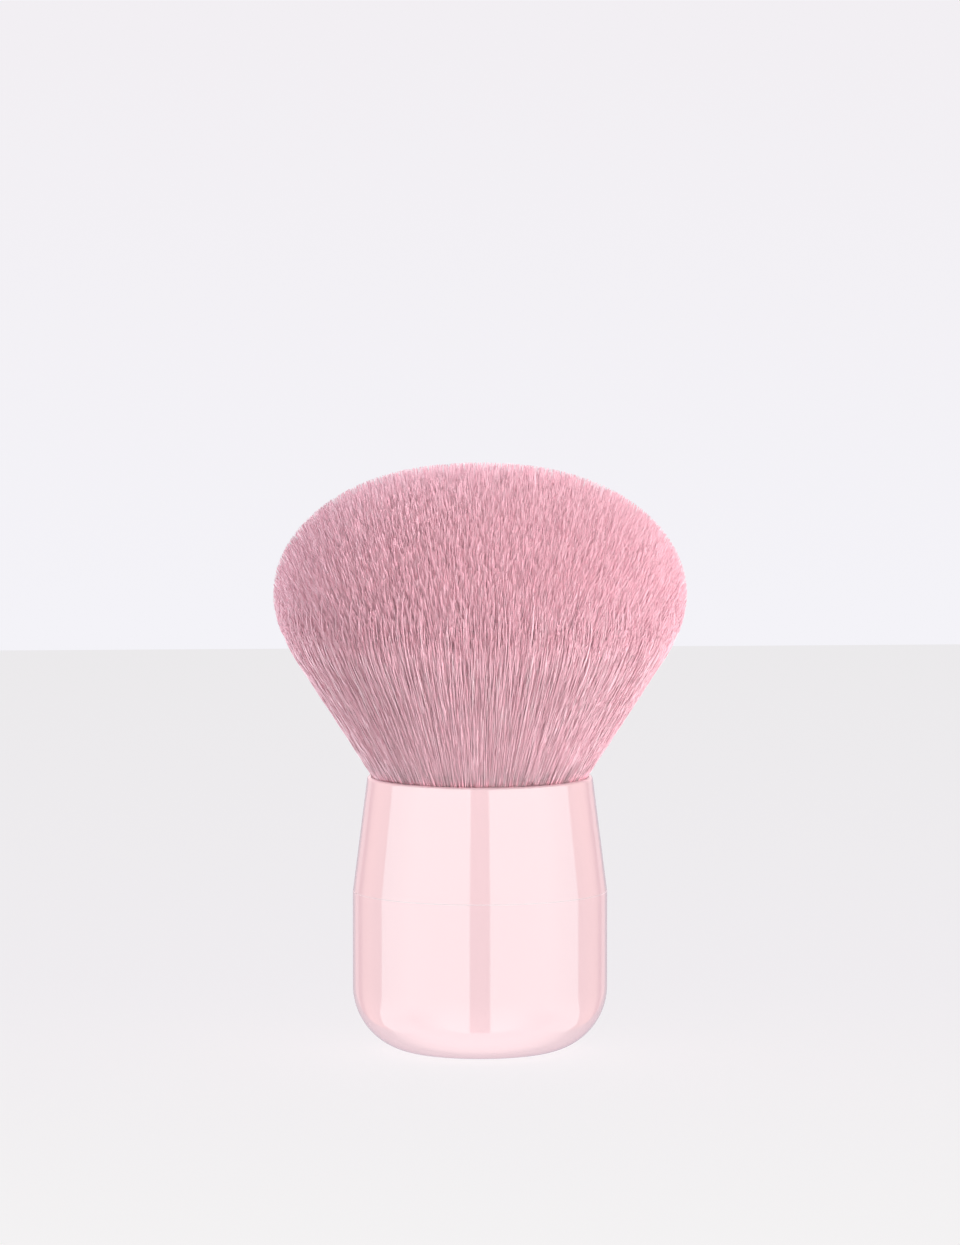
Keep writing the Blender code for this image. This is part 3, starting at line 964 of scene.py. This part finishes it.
def floor():
    """A pale table top whose far edge is seen behind the brush."""
    corners = [
        (-FLOOR_HALF_WIDTH, -FLOOR_FRONT, 0),
        (FLOOR_HALF_WIDTH, -FLOOR_FRONT, 0),
        (FLOOR_HALF_WIDTH, FLOOR_BACK, 0),
        (-FLOOR_HALF_WIDTH, FLOOR_BACK, 0),
    ]
    mesh = bpy.data.meshes.new("floor")
    mesh.from_pydata(corners, [], [(0, 1, 2, 3)])
    table = bpy.data.objects.new("floor", mesh)
    bpy.context.scene.collection.objects.link(table)
    table.rotation_euler.z = FLOOR_TURN
    table.visible_glossy = False
    surface, tree, shader = new_material("pale_floor", roughness=0.8, Specular_IOR_Level=0.0)
    far = mapped(tree, axes_of(tree, object_place(tree))["Y"], FLOOR_COLOUR_START, FLOOR_BACK)
    colour = ramp(tree, far, FLOOR_COLOURS)
    lit = multiplied(tree, colour, (FLOOR_SHADE_SHARE,) * 3)
    tree.links.new(lit, shader.inputs["Base Color"])
    tree.links.new(colour, shader.inputs["Emission Color"])
    shader.inputs["Emission Strength"].default_value = 1 - FLOOR_SHADE_SHARE
    mesh.materials.append(surface)
    return table


def by_turn(stops):
    """Stops given at turns in degrees, for a ramp over shares of a half turn."""
    return [(turn / HALF_TURN_DEGREES, colour) for turn, colour in stops]


def turn_share(tree, x, y):
    """How far round from straight behind the camera a direction is, as a share of a half turn."""
    turn = computed(tree, "ARCTAN2", x, negative(tree, y))
    return computed(tree, "DIVIDE", computed(tree, "ABSOLUTE", turn), HALF_TURN)


def softbox_wrap(tree, share, z):
    """How much further round the softboxes reach toward the table."""
    below = computed(tree, "MAXIMUM", computed(tree, "SUBTRACT", -WRAP_DROP, z), 0.0)
    wrap = computed(tree, "MULTIPLY", computed(tree, "MULTIPLY", below, below), WRAP_RATE)
    wrap = computed(tree, "MINIMUM", wrap, WRAP_LIMIT_SHARE)
    return computed(tree, "MULTIPLY", wrap, mapped(tree, share, WRAP_START_SHARE, WRAP_END_SHARE))


def mirrored_studio(tree, share, z):
    """The softboxes, the gap between them and the darker sides, as a mirror-like surface sees them."""
    wrap = softbox_wrap(tree, share, z)
    share = computed(tree, "SUBTRACT", share, wrap)
    around = ramp(tree, share, by_turn(STUDIO_COLOURS))
    # The gap widens toward the table, so it stays as wide where the foot is rounded.
    level = computed(tree, "MULTIPLY_ADD", z, negative(tree, z), 1.0)
    gap = computed(tree, "MULTIPLY", share, computed(tree, "POWER", level, GAP_POWER))
    out_of_gap = mapped(tree, gap, GAP_START / HALF_TURN_DEGREES, GAP_END / HALF_TURN_DEGREES)
    around = blended(tree, out_of_gap, GAP_COLOUR, around)
    # The collar leans back and mirrors what is higher up, where the sides and the gap are lighter.
    lift = grey_of(tree, mapped(tree, z, LIFT_BOTTOM, LIFT_TOP, 1.0, LIFT))
    lift_share = ramp(tree, share, by_turn([(turn, (part,) * 3) for turn, part in LIFT_SHARES]))
    around = multiplied(tree, around, lift, factor=lift_share)
    fade = computed(tree, "MULTIPLY_ADD", wrap, -WRAP_FADE, 1.0)
    return multiplied(tree, around, grey_of(tree, fade))


def mirrored_table(tree, x, y, z):
    """The lit table, and how much of it is seen in a direction."""
    drop = computed(tree, "MAXIMUM", negative(tree, z), LEAST_DROP)
    across = computed(tree, "ABSOLUTE", computed(tree, "DIVIDE", x, drop))
    along = computed(tree, "DIVIDE", y, drop)
    far = computed(tree, "MULTIPLY_ADD", along, TABLE_COLOUR_SCALE, TABLE_COLOUR_START)
    half_width = computed(tree, "MULTIPLY_ADD", along, TABLE_WIDENING, TABLE_HALF_WIDTH)
    side_room = computed(tree, "SUBTRACT", half_width, across)
    near_room = computed(tree, "ADD", along, TABLE_NEAR_EDGE)
    in_width = computed(tree, "MULTIPLY", side_room, TABLE_SHARPNESS, clamp=True)
    in_depth = computed(tree, "MULTIPLY", near_room, TABLE_SHARPNESS, clamp=True)
    below = computed(tree, "MULTIPLY", z, -HORIZON_SHARPNESS, clamp=True)
    seen = computed(tree, "MULTIPLY", computed(tree, "MULTIPLY", in_width, in_depth), below)
    return ramp(tree, far, TABLE_COLOURS), seen


def wall(tree, z):
    """What the camera sees behind the table."""
    stops = [(1 + math.sin(math.radians(angle)), colour) for angle, colour in WALL_COLOURS]
    return ramp(tree, computed(tree, "ADD", z, 1.0), stops)


def studio():
    """Pale light from all round. Mirror-like surfaces see tall softboxes, darker sides and a lit table."""
    world = bpy.data.worlds.new("studio")
    bpy.context.scene.world = world
    world.use_nodes = True
    world.cycles.sampling_method = "NONE"
    tree = world.node_tree
    tree.nodes.clear()
    x, y, z = axes_of(tree, node(tree, "ShaderNodeTexCoord").outputs["Generated"])
    mirrored = mirrored_studio(tree, turn_share(tree, x, y), z)
    overhead = mapped(tree, z, OVERHEAD_START, OVERHEAD_FULL)
    mirrored = blended(tree, overhead, mirrored, OVERHEAD_COLOUR)
    table, on_table = mirrored_table(tree, x, y, z)
    mirrored = blended(tree, on_table, mirrored, table)
    sight = node(tree, "ShaderNodeLightPath").outputs
    seen = blended(tree, sight["Is Glossy Ray"], ramp(tree, z, SOFT_LIGHT), mirrored)
    seen = blended(tree, sight["Is Camera Ray"], seen, wall(tree, z))
    shown = node(tree, "ShaderNodeBackground", {"Color": seen, "Strength": 1.0})
    out = node(tree, "ShaderNodeOutputWorld")
    tree.links.new(shown.outputs[0], out.inputs["Surface"])


def soft_lamp(name, azimuth, elevation, size, power, colour, lit):
    """A square softbox that faces the tuft and lights only the pieces in the collection."""
    lamp = bpy.data.lights.new(name, "AREA")
    lamp.size = size
    lamp.energy = power
    lamp.color = colour
    light = bpy.data.objects.new(name, lamp)
    bpy.context.scene.collection.objects.link(light)
    azimuth, elevation = math.radians(azimuth), math.radians(elevation)
    away = (
        math.sin(azimuth) * math.cos(elevation),
        -math.cos(azimuth) * math.cos(elevation),
        math.sin(elevation),
    )
    light.location = [LAMP_DISTANCE * part for part in away]
    light.location.z += WIDEST_HEIGHT
    light.rotation_euler = light.location.to_track_quat("Z", "Y").to_euler()
    light.visible_camera = False
    light.visible_glossy = False
    light.light_linking.receiver_collection = lit
    return light


def camera():
    """A long lens that looks a little down at the middle of the brush."""
    lens = bpy.data.cameras.new("camera")
    lens.lens = CAMERA_LENS
    lens.sensor_width = CAMERA_SENSOR
    lens.clip_start = CLIP_START
    lens.clip_end = CLIP_END
    eye = bpy.data.objects.new("camera", lens)
    bpy.context.scene.collection.objects.link(eye)
    eye.location = (
        0,
        -CAMERA_DISTANCE * math.cos(CAMERA_ELEVATION),
        AIM_HEIGHT + CAMERA_DISTANCE * math.sin(CAMERA_ELEVATION),
    )
    eye.rotation_euler.x = QUARTER_TURN - CAMERA_ELEVATION
    bpy.context.scene.camera = eye


def main():
    """The brush, the table, the studio and the lamps that light only the bristles."""
    bpy.context.scene.view_settings.view_transform = "Standard"
    camera()
    cup_shell()
    collar_shell()
    hair = [bristle_core(), *bristles()]
    finish_inner_nodes()
    floor()
    studio()
    lit = bpy.data.collections.new("lit_bristles")
    for piece in hair:
        lit.objects.link(piece)
    for lamp in LAMPS:
        soft_lamp(*lamp, lit)


main()
